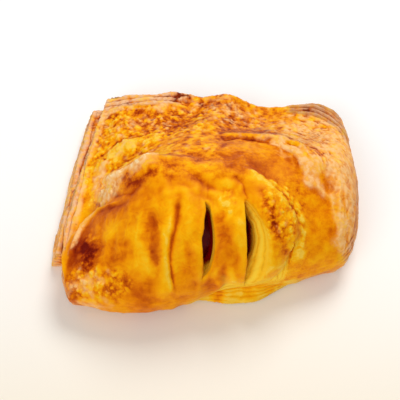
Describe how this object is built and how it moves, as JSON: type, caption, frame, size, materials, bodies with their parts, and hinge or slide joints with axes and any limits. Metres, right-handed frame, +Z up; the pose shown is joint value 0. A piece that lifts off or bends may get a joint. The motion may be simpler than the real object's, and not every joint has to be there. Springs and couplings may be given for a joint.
{
  "type": "fruit-filled croissant",
  "caption": "Baked parcel of laminated dough folded over a dark fruit filling, with long slits cut in its top flap.",
  "frame": {"origin": "on the table, under the middle of the bounding box", "axes": "+X along the long side, +Z up from the table, -Y towards the slit flap"},
  "size_m": [0.1316, 0.1084, 0.0445],
  "materials": {
    "crust": "golden brown egg-washed crust, satin with small blisters and flaky edges",
    "fruit": "dark red-brown cooked fruit, moist"
  },
  "bodies": {
    "root": {"pastry": "crust", "filling": "fruit"}
  },
  "joints": []
}
